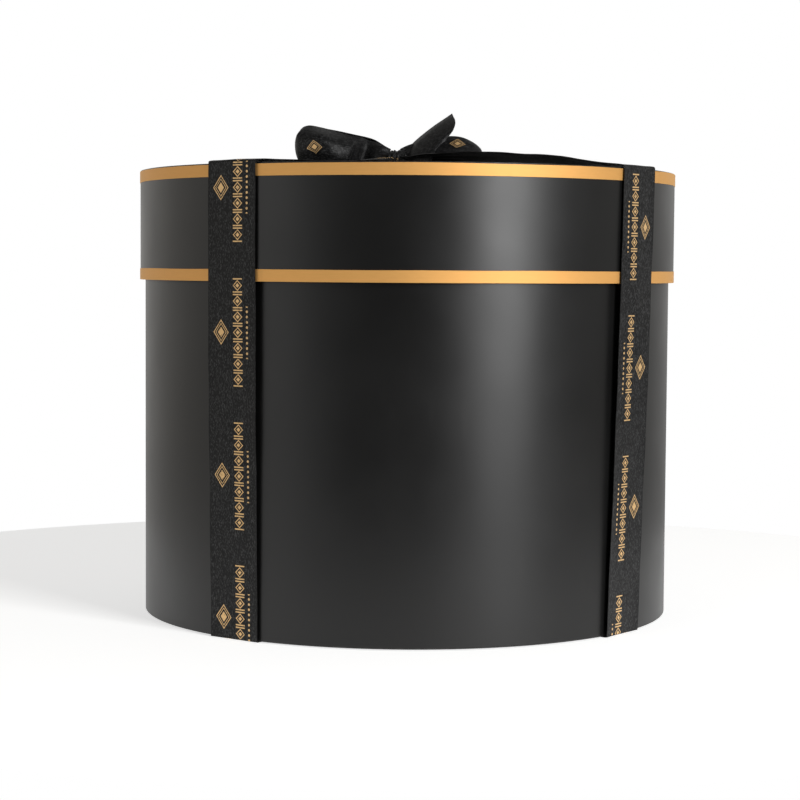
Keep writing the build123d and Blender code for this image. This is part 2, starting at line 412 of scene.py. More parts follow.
def diagonal(tree, across, up):
    """The straight distance made by two distances at right angles."""
    across = reckon(tree, "POWER", across, 2.0)
    up = reckon(tree, "POWER", up, 2.0)
    return reckon(tree, "SQRT", reckon(tree, "ADD", across, up))


def mottled(tree, mottle, colour, darker, lighter):
    """A colour made darker and lighter by a mottle."""
    low = [darker * tone for tone in colour]
    high = [lighter * tone for tone in colour]
    return mix_colours(tree, mottle, low, high)


paper_face, given, result = new_group(
    "paper_face", {"Grain": 0.0007, "Grain depth": 0.000004}, ("Mottle", "Scuff", "Relief")
)
mottle = object_noise(paper_face, MOTTLE_SPOT, 5.0)
cloud = reckon(paper_face, "MULTIPLY", object_noise(paper_face, CLOUD_SPOT, 2.0), 0.4)
paper_face.links.new(reckon(paper_face, "MULTIPLY_ADD", mottle, 0.6, cloud), result["Mottle"])
rub = object_noise(paper_face, RUB_SPOT, 4.0, (1, 1, 0.22))
rub_places = smooth_step(paper_face, object_noise(paper_face, RUB_PLACE, 2.0), 0.52, 0.70)
rub_marks = smooth_step(paper_face, rub, 0.60, 0.78)
paper_face.links.new(reckon(paper_face, "MULTIPLY", rub_marks, rub_places), result["Scuff"])
place = add_node(paper_face, "ShaderNodeTexCoord").outputs["Object"]
frequency = reckon(paper_face, "DIVIDE", 1.0, given["Grain"])
grain = add_node(paper_face, "ShaderNodeTexNoise", {"Vector": place, "Scale": frequency, "Detail": 3.0})
waves = reckon(paper_face, "MULTIPLY", object_noise(paper_face, WAVE_SPOT, 1.0, (1, 1, 0.5)), WAVE_DEPTH)
relief = reckon(paper_face, "MULTIPLY_ADD", grain.outputs["Fac"], given["Grain depth"], waves)
paper_face.links.new(relief, result["Relief"])

fold_wear, given, result = new_group(
    "fold_wear", {"Radius": 0.18, "Height": 0.0, "Reach": 0.0012}, ("Wear",)
)
place = add_node(fold_wear, "ShaderNodeTexCoord").outputs["Object"]
parts = add_node(fold_wear, "ShaderNodeSeparateXYZ", {0: place}).outputs
radius = diagonal(fold_wear, parts["X"], parts["Y"])
out = reckon(fold_wear, "SUBTRACT", radius, given["Radius"])
up = reckon(fold_wear, "SUBTRACT", parts["Z"], given["Height"])
away = reckon(fold_wear, "DIVIDE", diagonal(fold_wear, out, up), given["Reach"])
near = reckon(fold_wear, "SUBTRACT", 1.0, away, clamp=True)
broken = smooth_step(fold_wear, object_noise(fold_wear, CRACK_SPOT, 4.0), 0.42, 0.66)
fold_wear.links.new(reckon(fold_wear, "MULTIPLY", near, broken), result["Wear"])


def black_paper(name, folds, roughness=SILK_ROUGHNESS):
    """Silk-laminated black paper, rubbed pale where its folds at (radius, height) catch the hand."""
    material, tree, shader = new_material(name, Specular_IOR_Level=0.5)
    face = add_node(tree, "ShaderNodeGroup", node_tree=paper_face).outputs
    worn = reckon(tree, "MULTIPLY", face["Scuff"], SCUFF_SHARE)
    for radius, height in folds:
        plugs = {"Radius": radius, "Height": height}
        edge = add_node(tree, "ShaderNodeGroup", plugs, node_tree=fold_wear).outputs["Wear"]
        worn = reckon(tree, "ADD", worn, edge, clamp=True)
    toned = mottled(tree, face["Mottle"], BLACK_PAPER, 0.8, 1.25)
    tree.links.new(mix_colours(tree, worn, toned, WORN_PAPER), shader.inputs["Base Color"])
    smoothest = roughness - MOTTLE_ROUGHNESS / 2
    rough = reckon(tree, "MULTIPLY_ADD", face["Mottle"], MOTTLE_ROUGHNESS, smoothest)
    rough = reckon(tree, "MULTIPLY_ADD", worn, WORN_ROUGHNESS, rough)
    tree.links.new(rough, shader.inputs["Roughness"])
    raise_relief(tree, shader, face["Relief"])
    return material


base_radius = wall_outer + PAPER
mouth = wall_high.z + PAPER
foot = wall_low.z - PAPER
base_paper = black_paper("black_paper_base", [(base_radius, foot), (base_radius, mouth)])
base_wrap = turned_paper(
    [
        (wall_inner - PAPER, wall_high.z - TURN_IN),
        (wall_inner - PAPER, mouth),
        (base_radius, mouth),
        (base_radius, foot),
        (wall_inner - PAPER, foot),
        (wall_inner - PAPER, floor_under - PAPER),
        (wall_inner - TURN_IN, floor_under - PAPER),
    ]
)
add_lap(base_wrap, base_radius, PAPER, foot + LAP_SHORT, mouth - LAP_SHORT)
finish_piece(
    "base_paper_wrap", base_wrap, [base_paper], PAPER, "base", "black_paper", ["base_outer_wrap"]
)


# Base floor cover
# A disc of the same paper, glued under the floor to hide the turned-in edge of the wrap. It lies
# closer to the floor board where that edge ends.
COVER_MARGIN = 0.0017
COVER_ROUGHNESS = 0.45
COVER_STEP = 0.0004
STEP_FAR = 0.0012
STEP_FOLD = 0.0002

cover = turned_paper(
    [
        (wall_inner - PAPER - COVER_MARGIN, floor_under - 2 * PAPER),
        (wall_inner - TURN_IN - COVER_STEP, floor_under - 2 * PAPER),
        (wall_inner - TURN_IN - STEP_FAR, floor_under - PAPER),
        (0, floor_under - PAPER),
    ],
    fold=STEP_FOLD,
)
finish_piece(
    "base_paper_foot_cover",
    cover,
    [black_paper("black_paper_foot", [], COVER_ROUGHNESS)],
    PAPER,
    "base",
    "black_paper",
    ["base_bottom_cover"],
)


# Linings of the base
# Uncoated black paper: a strip round the wall, over the wrap's turned-in edge, and a disc on
# the floor. Its fibres show, and it has the soft nap of paper that was never laminated.
LINING_BLACK = (0.020, 0.0195, 0.019)
LINING_FLECK = (0.07, 0.068, 0.064)
LINING_GRAIN = {"Grain": 0.0012, "Grain depth": 0.00003}
LINING_ROUGHNESS = 0.74
FLECK_SPOT = 0.0007
FLECK_SHARE = 0.35
EDGE_MARGIN = 0.002
LINING_MARGIN = 0.0005
STEP_NEAR = 0.0002

lining_paper, tree, shader = new_material("lining_paper", Specular_IOR_Level=0.3)
face = add_node(tree, "ShaderNodeGroup", LINING_GRAIN, node_tree=paper_face).outputs
flecks = smooth_step(tree, object_noise(tree, FLECK_SPOT, 1.0, (1, 1, 0.3)), 0.66, 0.74)
flecks = reckon(tree, "MULTIPLY", flecks, FLECK_SHARE)
toned = mottled(tree, face["Mottle"], LINING_BLACK, 0.75, 1.3)
tree.links.new(mix_colours(tree, flecks, toned, LINING_FLECK), shader.inputs["Base Color"])
rough = reckon(tree, "MULTIPLY_ADD", face["Mottle"], 0.12, LINING_ROUGHNESS)
tree.links.new(rough, shader.inputs["Roughness"])
raise_relief(tree, shader, face["Relief"])


def lining_disc(name, radius, height, up, body, node):
    """A flat disc of lining paper, which faces up for 1 and down for -1."""
    shape = turned_paper([(radius, height), (0, height)], fold=0)
    for face in shape.faces:
        if face.normal.z * up < 0:
            face.normal_flip()
    finish_piece(name, shape, [lining_paper], PAPER, body, "lining_paper", [node])


wall_lining = turned_paper(
    [
        (wall_inner - PAPER, floor_top),
        (wall_inner - PAPER, wall_high.z - TURN_IN - STEP_FAR),
        (wall_inner - 2 * PAPER, wall_high.z - TURN_IN - STEP_NEAR),
        (wall_inner - 2 * PAPER, wall_high.z - EDGE_MARGIN),
    ],
    fold=STEP_FOLD,
)
finish_piece(
    "base_lining_wall", wall_lining, [lining_paper], PAPER, "base", "lining_paper", ["base_wall_lining"]
)
lining_radius = wall_inner - 2 * PAPER - LINING_MARGIN
lining_disc("base_lining_floor", lining_radius, floor_top + PAPER, 1, "base", "base_floor_lining")


# Lid wrap and cover
# The rim is wrapped in the same black paper, turned in over the disc and up inside the rim. A
# disc of it then covers the lid, cut just short of the edge, where it shows as a dark line.
rim_low, rim_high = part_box("lid_rim_board")
rim_outer = rim_high.x
rim_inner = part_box("lid_top_board")[1].x
lid_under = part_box("lid_top_board")[0].z
lid_top = rim_high.z + 2 * PAPER
rim_radius = rim_outer + PAPER
lid_mouth = rim_low.z - PAPER

lid_folds = [(rim_radius, lid_mouth), (rim_outer - COVER_MARGIN, lid_top)]
lid_paper = black_paper("black_paper_lid", lid_folds)
rim_wrap = turned_paper(
    [
        (rim_outer - TURN_IN, rim_high.z + PAPER),
        (rim_radius, rim_high.z + PAPER),
        (rim_radius, lid_mouth),
        (rim_inner - PAPER, lid_mouth),
        (rim_inner - PAPER, rim_low.z + TURN_IN),
    ]
)
finish_piece("lid_paper_rim", rim_wrap, [lid_paper], PAPER, "lid", "black_paper", ["lid_rim_wrap"])
lid_cover = turned_paper(
    [
        (0, rim_high.z + PAPER),
        (rim_outer - TURN_IN - STEP_FAR, rim_high.z + PAPER),
        (rim_outer - TURN_IN - STEP_NEAR, lid_top),
        (rim_outer - COVER_MARGIN, lid_top),
    ],
    fold=STEP_FOLD,
)
finish_piece("lid_paper_top", lid_cover, [lid_paper], PAPER, "lid", "black_paper", ["lid_top_cover"])


# Gold bands
# Two strips of gold paper glued round the rim, one under its upper edge and one over its lower
# edge. They were laid by hand, so the upper edges wander a little, and each is lapped behind.
GOLD_LOW = (0.74, 0.385, 0.105)
GOLD_HIGH = (0.92, 0.50, 0.160)
GOLD_WORN = (0.30, 0.14, 0.035)
GOLD_WORN_SHARE = 0.3
GOLD_GRAIN = {"Grain": 0.0005, "Grain depth": 0.000008}
GOLD_METAL = 0.56
GOLD_ROUGHNESS = 0.52
STREAK_SPOT = 0.006
BAND_WANDER = 0.0003
BAND_SHY = 0.0005
BAND_ROUND = 0.00012

gold_paper, tree, shader = new_material("gold_paper", Metallic=GOLD_METAL, Specular_IOR_Level=0.5)
face = add_node(tree, "ShaderNodeGroup", GOLD_GRAIN, node_tree=paper_face).outputs
streaks = object_noise(tree, STREAK_SPOT, 4.0, (1, 1, 6))
tone = reckon(tree, "MULTIPLY_ADD", streaks, 0.35, reckon(tree, "MULTIPLY", face["Mottle"], 0.65))
gilt = mix_colours(tree, tone, GOLD_LOW, GOLD_HIGH)
worn = reckon(tree, "MULTIPLY", face["Scuff"], GOLD_WORN_SHARE)
tree.links.new(mix_colours(tree, worn, gilt, GOLD_WORN), shader.inputs["Base Color"])
rough = reckon(tree, "MULTIPLY_ADD", face["Mottle"], 0.12, GOLD_ROUGHNESS)
tree.links.new(rough, shader.inputs["Roughness"])
raise_relief(tree, shader, face["Relief"])


def gold_band(name, node):
    """A gold strip over the rim's paper, where its CAD ring lies."""
    low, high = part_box(node)
    high.z -= BAND_SHY
    shape = turned_paper(
        [
            (rim_radius, low.z),
            (high.x - BAND_ROUND, low.z),
            (high.x, low.z + BAND_ROUND),
            (high.x, high.z - BAND_ROUND),
            (high.x - BAND_ROUND, high.z),
            (rim_radius, high.z),
        ],
        fold=0,
    )
    add_lap(shape, high.x, PAPER / 2, low.z + BAND_ROUND, high.z - BAND_ROUND)
    middle = (low.z + high.z) / 2
    for point in shape.verts:
        round_the_box = point.co.xy.normalized() * 3
        sway = noise.noise((*round_the_box, middle * 40)) * BAND_WANDER
        point.co.z += sway if point.co.z > middle else 0
    finish_piece(name, shape, [gold_paper], PAPER / 2, "lid", "gold_paper", [node])


gold_band("lid_gold_band_top", "lid_top_trim")
gold_band("lid_gold_band_bottom", "lid_bottom_trim")


# Linings of the lid
# The same uncoated black paper inside the lid: a strip round the rim, over the wrap's turned-up
# edge, and a disc glued under the lid's own disc.
rim_lining = turned_paper(
    [
        (rim_inner - 2 * PAPER, rim_low.z + EDGE_MARGIN),
        (rim_inner - 2 * PAPER, rim_low.z + TURN_IN + STEP_NEAR),
        (rim_inner - PAPER, rim_low.z + TURN_IN + STEP_FAR),
        (rim_inner - PAPER, lid_under),
    ],
    fold=STEP_FOLD,
)
finish_piece("lid_lining_rim", rim_lining, [lining_paper], PAPER, "lid", "lining_paper", ["lid_rim_lining"])
lining_radius = rim_inner - 2 * PAPER - LINING_MARGIN
lining_disc("lid_lining_top", lining_radius, lid_under - PAPER, -1, "lid", "lid_top_lining")


# Ribbon straps
# Black satin ribbon, 38 mm wide, with a pattern printed in gold foil on its face. Each strap
# leaves the knot gathered into pleats, folds over the lid's edge and runs down to the foot.
RIBBON_WIDTH = 0.038
RIBBON = 0.0003
SATIN_BLACK = (0.0022, 0.0022, 0.0024)
# SATIN_GLINT is a painted glint: a lighter base colour on the floats that stands in for the sparkle of
# light off the satin
SATIN_GLINT = (0.055, 0.055, 0.056)
SATIN_SELVEDGE = (0.006, 0.006, 0.0062)
SATIN_ROUGHNESS = 0.46
FLOAT_WIDTH = 0.00036
FLOAT_CROWN = 0.000028
SELVEDGE_IN = (0.0009, 0.0014)
PICK_PITCH = 0.0008
PICK_DEPTH = 0.00002
FOIL = (0.80, 0.52, 0.24)
FOIL_ROUGHNESS = 0.36
FOIL_METAL = 0.45
# The print repeats along the ribbon: lozenges, a row of beads with bars between them, and a row
# of dots. Each lies at a distance across from the left selvedge.
PRINT_PERIOD = 0.0885
MARK_ACROSS = 0.0105
MARK_HALF = (0.0062, 0.0078)
BEAD_ACROSS = 0.0240
BEAD_HALF = (0.0037, 0.0034)
BEAD_PITCH = 0.0096
BAR_AWAY = 0.0008
BAR_HALF = 0.0004
BEADS_REACH = 0.0336
DOT_ACROSS = 0.0313
DOT_RADIUS = 0.0008
DOT_PITCH = 0.0032
DOTS_REACH = 0.0160
FLAKE_SPOT = 0.0012
STRAP_FOLD = 0.0017
FOLD_CLEAR = 0.0002
FOLD_ROUND = (0.72, 0.30)
BEFORE_FOLD = (0.006, 0.0006)
STRAP_OFF_RIM = 0.0007
RIM_LEAVES = (0.003, -0.001)
FOOT_GAP = 0.0002
FOLD_LEAD = 0.005
ROW_ON_LID = 0.0016
ROW_IN_FOLD = 0.0005
ROWS_IN_FOLD = 19
ROW_DOWN = 0.0022
GATHERED_SHARE = 0.22
GATHER_LENGTH = 0.070
GATHER_START = 0.008
PLEATS = 4
PLEAT_DEPTH = 0.0011
BUCKLE_ON_LID = 0.0009
BUCKLE_STARTS = 0.05
BUCKLE_DOWN = 0.00035
EDGE_CURL = 0.0005
RIM_HUG = 0.55
HUG_ENDS = 0.055
HUG_FADES = 0.10
TURN_REACH = 0.03
TIP_STARTS = 0.004
TIP_GROWS = 0.018
TIP_ENDS = 0.060
TIP_FADES = 0.058
# For each strap: the heights of its knot end, crown and shoulder over the lid, how steeply it
# is tipped sideways there, how far it leans at the foot, how far under the fold its first
# print stands, and whether the print is turned end for end
STRAPS = {
    "front_left": ((0.0090, 0.0044, 0.0026), 0.04, 0.0, 0.0166, False),
    "front_right": ((0.0096, 0.0082, 0.0038), -0.20, -0.009, 0.0384, True),
    "back_right": ((0.0080, 0.0060, 0.0036), -0.03, 0.0, 0.0300, False),
    "back_left": ((0.0080, 0.0055, 0.0036), 0.05, 0.0, 0.0520, True),
}
HEIGHTS_AT = (0.03, 0.45, 0.83)

satin_weave, given, result = new_group("satin_weave", {"Float": 0.0011}, ("Glint", "Relief", "Selvedge"))
place = add_node(satin_weave, "ShaderNodeUVMap", uv_map="ribbon").outputs["UV"]
parts = add_node(satin_weave, "ShaderNodeSeparateXYZ", {0: place}).outputs
stretched = add_node(
    satin_weave,
    "ShaderNodeCombineXYZ",
    {
        "X": reckon(satin_weave, "DIVIDE", parts["X"], FLOAT_WIDTH),
        "Y": reckon(satin_weave, "DIVIDE", parts["Y"], given["Float"]),
    },
).outputs[0]
floats = add_node(satin_weave, "ShaderNodeTexVoronoi", {"Vector": stretched, "Scale": 1.0})
tint = add_node(satin_weave, "ShaderNodeSeparateColor", {"Color": floats.outputs["Color"]}).outputs
satin_weave.links.new(smooth_step(satin_weave, tint["Red"], 0.55, 1.0), result["Glint"])
edge_near = reckon(
    satin_weave, "MINIMUM", parts["X"], reckon(satin_weave, "SUBTRACT", RIBBON_WIDTH, parts["X"])
)
selvedge = reckon(satin_weave, "SUBTRACT", 1.0, smooth_step(satin_weave, edge_near, *SELVEDGE_IN))
satin_weave.links.new(selvedge, result["Selvedge"])
picks = reckon(satin_weave, "SINE", reckon(satin_weave, "MULTIPLY", parts["Y"], 2 * pi / PICK_PITCH))
picks = reckon(satin_weave, "MULTIPLY", reckon(satin_weave, "MULTIPLY", picks, selvedge), PICK_DEPTH)
crowned = reckon(satin_weave, "MULTIPLY", floats.outputs["Distance"], -FLOAT_CROWN)
satin_weave.links.new(reckon(satin_weave, "ADD", picks, crowned), result["Relief"])


def spread(tree, value, centre):
    """How far a value is from a centre."""
    return reckon(tree, "ABSOLUTE", reckon(tree, "SUBTRACT", value, centre))


def inside(tree, distance, limit, soft=0.00012):
    """1 where a distance is under a limit, with a soft edge."""
    return reckon(tree, "SUBTRACT", 1.0, smooth_step(tree, distance, limit - soft, limit + soft))


def repeat(tree, value, period):
    """A value wrapped to lie within half a period of zero."""
    return reckon(tree, "WRAP", value, period / 2, -period / 2)


def lozenge(tree, across, along, half):
    """Distance from a lozenge's middle, 1 at its outline."""
    across = reckon(tree, "DIVIDE", across, half[0])
    along = reckon(tree, "DIVIDE", along, half[1])
    return reckon(tree, "ADD", across, along)


foil_print, given, result = new_group("foil_print", {"Wear": 0.5, "Rows": 1.0, "Mark": 1.0}, ("Foil",))
place = add_node(foil_print, "ShaderNodeUVMap", uv_map="ribbon").outputs["UV"]
parts = add_node(foil_print, "ShaderNodeSeparateXYZ", {0: place}).outputs
station = repeat(foil_print, parts["Y"], PRINT_PERIOD)
station_away = reckon(foil_print, "ABSOLUTE", station)
mark_across = spread(foil_print, parts["X"], MARK_ACROSS)
mark = lozenge(foil_print, mark_across, station_away, MARK_HALF)
mark = reckon(foil_print, "DIVIDE", mark, given["Mark"])
outline = inside(foil_print, spread(foil_print, mark, 0.94), 0.06, 0.015)
inner_line = inside(foil_print, spread(foil_print, mark, 0.68), 0.045, 0.015)
heart = inside(foil_print, mark, 0.42, 0.02)
foil = reckon(foil_print, "MAXIMUM", outline, reckon(foil_print, "MAXIMUM", inner_line, heart))

bead_away = reckon(foil_print, "ABSOLUTE", repeat(foil_print, station, BEAD_PITCH))
bead_across = spread(foil_print, parts["X"], BEAD_ACROSS)
bead = lozenge(foil_print, bead_across, bead_away, BEAD_HALF)
bead_line = inside(foil_print, spread(foil_print, bead, 0.88), 0.12, 0.03)
bead_heart = inside(foil_print, bead, 0.42, 0.03)
beads = reckon(foil_print, "MAXIMUM", bead_line, bead_heart)
bar_away = spread(foil_print, bead_away, BEAD_PITCH / 2)
bars = inside(foil_print, spread(foil_print, bar_away, BAR_AWAY), BAR_HALF)
bars = reckon(foil_print, "MULTIPLY", bars, inside(foil_print, bead_across, BEAD_HALF[0]))
row = reckon(foil_print, "MAXIMUM", beads, bars)
row = reckon(foil_print, "MULTIPLY", row, inside(foil_print, station_away, BEADS_REACH))
row = reckon(foil_print, "MULTIPLY", row, given["Rows"])
foil = reckon(foil_print, "MAXIMUM", foil, row)

dot_along = repeat(foil_print, station, DOT_PITCH)
dot_across = spread(foil_print, parts["X"], DOT_ACROSS)
dots = inside(foil_print, diagonal(foil_print, dot_across, dot_along), DOT_RADIUS)
dots = reckon(foil_print, "MULTIPLY", dots, inside(foil_print, station_away, DOTS_REACH))
dots = reckon(foil_print, "MULTIPLY", dots, given["Rows"])
foil = reckon(foil_print, "MAXIMUM", foil, dots)
flaked = smooth_step(foil_print, object_noise(foil_print, FLAKE_SPOT, 3.0), 0.30, 0.42)
flaked = reckon(foil_print, "MAXIMUM", flaked, reckon(foil_print, "SUBTRACT", 1.0, given["Wear"]))
foil_print.links.new(reckon(foil_print, "MULTIPLY", foil, flaked), result["Foil"])


def satin(name, printed, rows=1.0, mark=1.0):
    """Black satin, with the foil print or plain. The print may be the lozenges alone."""
    material, tree, shader = new_material(
        name, Specular_IOR_Level=0.24, Sheen_Weight=0.02, Sheen_Roughness=0.4
    )
    weave = add_node(tree, "ShaderNodeGroup", node_tree=satin_weave).outputs
    shade = object_noise(tree, 0.02, 3.0)
    # Painted glint: the floats picked out by the weave are lightened in the base colour to stand in for the
    # light they catch
    glint = reckon(tree, "MULTIPLY", weave["Glint"], 0.8)
    cloth = mix_colours(tree, glint, SATIN_BLACK, SATIN_GLINT)
    selvedge = reckon(tree, "MULTIPLY", weave["Selvedge"], 0.5)
    cloth = mix_colours(tree, selvedge, cloth, SATIN_SELVEDGE)
    rough = reckon(tree, "MULTIPLY_ADD", shade, 0.10, SATIN_ROUGHNESS)
    rough = reckon(tree, "MULTIPLY_ADD", weave["Glint"], -0.10, rough)
    relief = weave["Relief"]
    if printed:
        plugs = {"Rows": rows, "Mark": mark}
        foil = add_node(tree, "ShaderNodeGroup", plugs, node_tree=foil_print).outputs["Foil"]
        cloth = mix_colours(tree, foil, cloth, FOIL)
        rough = reckon(tree, "MULTIPLY_ADD", reckon(tree, "SUBTRACT", FOIL_ROUGHNESS, rough), foil, rough)
        relief = reckon(tree, "MULTIPLY", relief, reckon(tree, "MULTIPLY_ADD", foil, -0.6, 1.0))
        tree.links.new(reckon(tree, "MULTIPLY", foil, FOIL_METAL), shader.inputs["Metallic"])
    tree.links.new(cloth, shader.inputs["Base Color"])
    tree.links.new(rough, shader.inputs["Roughness"])
    raise_relief(tree, shader, relief)
    return material


ribbon_face = satin("ribbon_face", True)
ribbon_back = satin("ribbon_back", False)
bow_face = satin("bow_face", True, rows=0.0, mark=0.72)


def eased(value):
    """0 below 0, 1 above 1 and smooth between."""
    held = min(max(value, 0.0), 1.0)
    return held * held * (3 - 2 * held)


def length_of(points):
    """The length of the runs between points."""
    return sum((end - start).length for start, end in zip(points, points[1:]))


def along(points, share):
    """The point at a share of the way along a smooth curve through the points."""
    gaps = [(end - start).length for start, end in zip(points, points[1:])]
    left = share * sum(gaps)
    run = 0
    while run < len(gaps) - 1 and left > gaps[run]:
        left -= gaps[run]
        run += 1
    start, end, gap = points[run], points[run + 1], gaps[run]
    leave = end - start
    arrive = end - start
    if run > 0:
        leave = (end - points[run - 1]) * (gap / (gap + gaps[run - 1]))
    if run < len(gaps) - 1:
        arrive = (points[run + 2] - start) * (gap / (gap + gaps[run + 1]))
    part = left / gap
    rest = 1 - part
    by_start = start * ((1 + 2 * part) * rest * rest) + leave * (part * rest * rest)
    by_end = end * (part * part * (3 - 2 * part)) - arrive * (part * part * rest)
    return by_start + by_end


def even_rows(length, step):
    """Shares of a length, about a step apart."""
    count = max(2, round(length / step))
    return [row / count for row in range(count + 1)]


def ribbon_shape(place, length, rows, station=0.0, turned=False, across=24):
    """A stretch of ribbon: place(u, v) is the point u across it and v along it, both 0 to 1."""
    shape = bmesh.new()
    on_unit = Matrix.Translation((0.5, 0.5, 0))
    bmesh.ops.create_grid(shape, x_segments=across, y_segments=len(rows) - 1, size=0.5, matrix=on_unit)
    weave = shape.loops.layers.uv.new("ribbon")
    for point in shape.verts:
        point.co.y = rows[round(point.co.y * (len(rows) - 1))]
    for face in shape.faces:
        for corner in face.loops:
            u = corner.vert.co.x * RIBBON_WIDTH
            v = corner.vert.co.y * length - station
            corner[weave].uv = (RIBBON_WIDTH - u, -v) if turned else (u, v)
    for point in shape.verts:
        point.co = place(point.co.x, point.co.y)
    bmesh.ops.reverse_faces(shape, faces=shape.faces)
    return shape


def ribbon_piece(name, shape, body, nodes, length, face=ribbon_face):
    """Ribbon with a printed face and a plain back."""
    piece = finish_piece(name, shape, [face, ribbon_back], RIBBON, body, "ribbon", nodes)
    return piece


knot_low, knot_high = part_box("bow_knot")
KNOT = Vector(((knot_low.x + knot_high.x) / 2, (knot_low.y + knot_high.y) / 2, 0))
lid_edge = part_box("lid_top_trim")[1].x
strap_radius = lid_edge + STRAP_OFF_RIM
foot_radius = base_radius + STRAP_OFF_RIM
UP = Vector((0, 0, 1))
pivots = {joint["child"]: Vector(joint["pos_m"]) for joint in frame["joints"] if joint["type"] == "hinge"}


def outward(name):
    """The level direction in which a strap leaves the lid."""
    out = pivots[f"leg_{name}"].copy()
    out.z = 0
    return out.normalized()


def strap(name, heights, tip, lean, station, turned):
    """One strap, from the knot over the lid's edge to the foot."""
    out = outward(name)
    side = Vector((-out.y, out.x, 0))
    edge = out * (strap_radius - STRAP_FOLD)
    run = edge - KNOT
    run_side = Vector((-run.y, run.x, 0)).normalized()
    fold_height = lid_top + STRAP_FOLD + FOLD_CLEAR
    route = [
        KNOT.lerp(edge, share) + UP * (lid_top + height)
        for share, height in zip(HEIGHTS_AT, heights)
    ]
    route.append(edge - out * BEFORE_FOLD[0] + UP * (fold_height + BEFORE_FOLD[1]))
    route.append(edge + UP * fold_height)
    past_edge, under_edge = STRAP_FOLD * FOLD_ROUND[0], STRAP_FOLD * FOLD_ROUND[1]
    route.append(edge + out * past_edge + UP * (fold_height - under_edge))
    fold_end = edge + out * STRAP_FOLD + UP * (fold_height - STRAP_FOLD)
    route.append(fold_end)
    drop = fold_end.z
    down = [(strap_radius, lid_mouth + height) for height in RIM_LEAVES]
    for radius, height in [*down, (foot_radius, FOOT_GAP)]:
        route.append(out * radius + side * (lean * (drop - height) / drop) + UP * height)
    length = length_of(route)
    fold_at = length_of(route[:6])
    fold_start = fold_at - FOLD_LEAD
    fold_stop = fold_start + ROW_IN_FOLD * ROWS_IN_FOLD
    rows = [fold_start * share for share in even_rows(fold_start, ROW_ON_LID)]
    rows += [fold_start + ROW_IN_FOLD * step for step in range(1, ROWS_IN_FOLD + 1)]
    below = length - fold_stop
    rows += [fold_stop + below * share for share in even_rows(below, ROW_DOWN)[1:]]
    rows = [row / length for row in rows]
    seed = len(name) * 7.3 + heights[0] * 1000

    def place(u, v):
        centre = along(route, v)
        ahead = (along(route, min(v + 0.002, 1)) - along(route, max(v - 0.002, 0))).normalized()
        done = v * length
        past = eased((done - fold_at + TURN_REACH) / TURN_REACH)
        sideways = run_side.lerp(side, past).normalized()
        face = ahead.cross(sideways).normalized()
        tipped = tip * (1 - eased((done - fold_at + TIP_ENDS) / TIP_FADES))
        tipped *= eased((done - TIP_STARTS) / TIP_GROWS)
        sideways = (sideways + face * tipped).normalized()
        face = ahead.cross(sideways).normalized()
        open_out = eased((done + GATHER_START) / (GATHER_LENGTH + GATHER_START))
        width = RIBBON_WIDTH * (GATHERED_SHARE + (1 - GATHERED_SHARE) * open_out)
        pleat = sin(2 * pi * PLEATS * u + 1.2 * noise.noise((u * 3, done * 30, seed)))
        lift = PLEAT_DEPTH * (1 - open_out) * (1 + pleat)
        buckle = noise.noise((u * 1.6, done * 22, seed)) + 0.35 * noise.noise((u * 4, done * 60, seed + 5))
        over_lid = 1 - past
        lift += buckle * BUCKLE_ON_LID * over_lid * eased(done / BUCKLE_STARTS)
        lift += max(buckle, -0.2) * BUCKLE_DOWN * past
        edge_near = abs(2 * u - 1) ** 4
        lift += edge_near * EDGE_CURL * past * (0.6 + noise.noise((u * 0.5, done * 26, seed + 9)))
        bend = ((u - 0.5) * width) ** 2 / (2 * strap_radius)
        on_rim = past * (1 - eased((drop - centre.z - HUG_ENDS) / HUG_FADES))
        lift -= RIM_HUG * bend * on_rim
        return centre + sideways * ((u - 0.5) * width) + face * lift

    shape = ribbon_shape(place, length, rows, fold_at + station, turned)
    return shape, round(length, 3)


for name, choices in STRAPS.items():
    shape, length = strap(name, *choices)
    nodes = [f"ribbon_top_run_{name}", f"ribbon_leg_{name}"]
    piece = ribbon_piece(f"ribbon_strap_{name}", shape, None, nodes, length)
    out = outward(name)
    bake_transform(piece)


# Ribbon under the base
# The same satin ribbon, crossing under the box in two runs, one over the other. Each run meets
# two straps at the foot, and the box's weight holds it flat.
CROSSING_RISE = 0.0005
CROSSING_FLAT = 0.022
CROSSING_SLOPE = 0.0308
UNDER_ROW = 0.004
UNDER_STATION = 0.03


def under_run(name, node, start, end, rise):
    """Ribbon under the base, stepped up where it passes over the other run."""
    span = end - start
    ahead = span.normalized()
    side = Vector((-ahead.y, ahead.x, 0))

    def place(u, v):
        away = abs(v - 0.5) * span.length
        over = eased((CROSSING_FLAT + CROSSING_SLOPE - away) / CROSSING_SLOPE)
        height = RIBBON + rise * over
        return start + span * v + side * ((u - 0.5) * RIBBON_WIDTH) + UP * height

    length = round(span.length, 3)
    shape = ribbon_shape(place, span.length, even_rows(span.length, UNDER_ROW), UNDER_STATION)
    bmesh.ops.reverse_faces(shape, faces=shape.faces)
    for point in shape.verts:
        point.co.z -= RIBBON
    ribbon_piece(name, shape, "base", [node], length)


def foot_of(name):
    """Where a strap meets the ground."""
    out = outward(name)
    lean = STRAPS[name][2]
    return out * (foot_radius - RIBBON) + Vector((-out.y, out.x, 0)) * lean


front_left, back_right = foot_of("front_left"), foot_of("back_right")
back_left, front_right = foot_of("back_left"), foot_of("front_right")
under_run("ribbon_under_first", "ribbon_under_run_a", front_left, back_right, 0.0)
under_run("ribbon_under_second", "ribbon_under_run_b", back_left, front_right, CROSSING_RISE)


# Bow loops
# The rest of the same satin ribbon, tied over the crossing into two loops. Each is folded over
# on itself, and the knot gathers its neck into pleats.
BOW_PLEATS = 3
BOW_PLEAT_DEPTH = 0.0009
BOW_BUCKLE = 0.0005
BOW_ROW = 0.0012


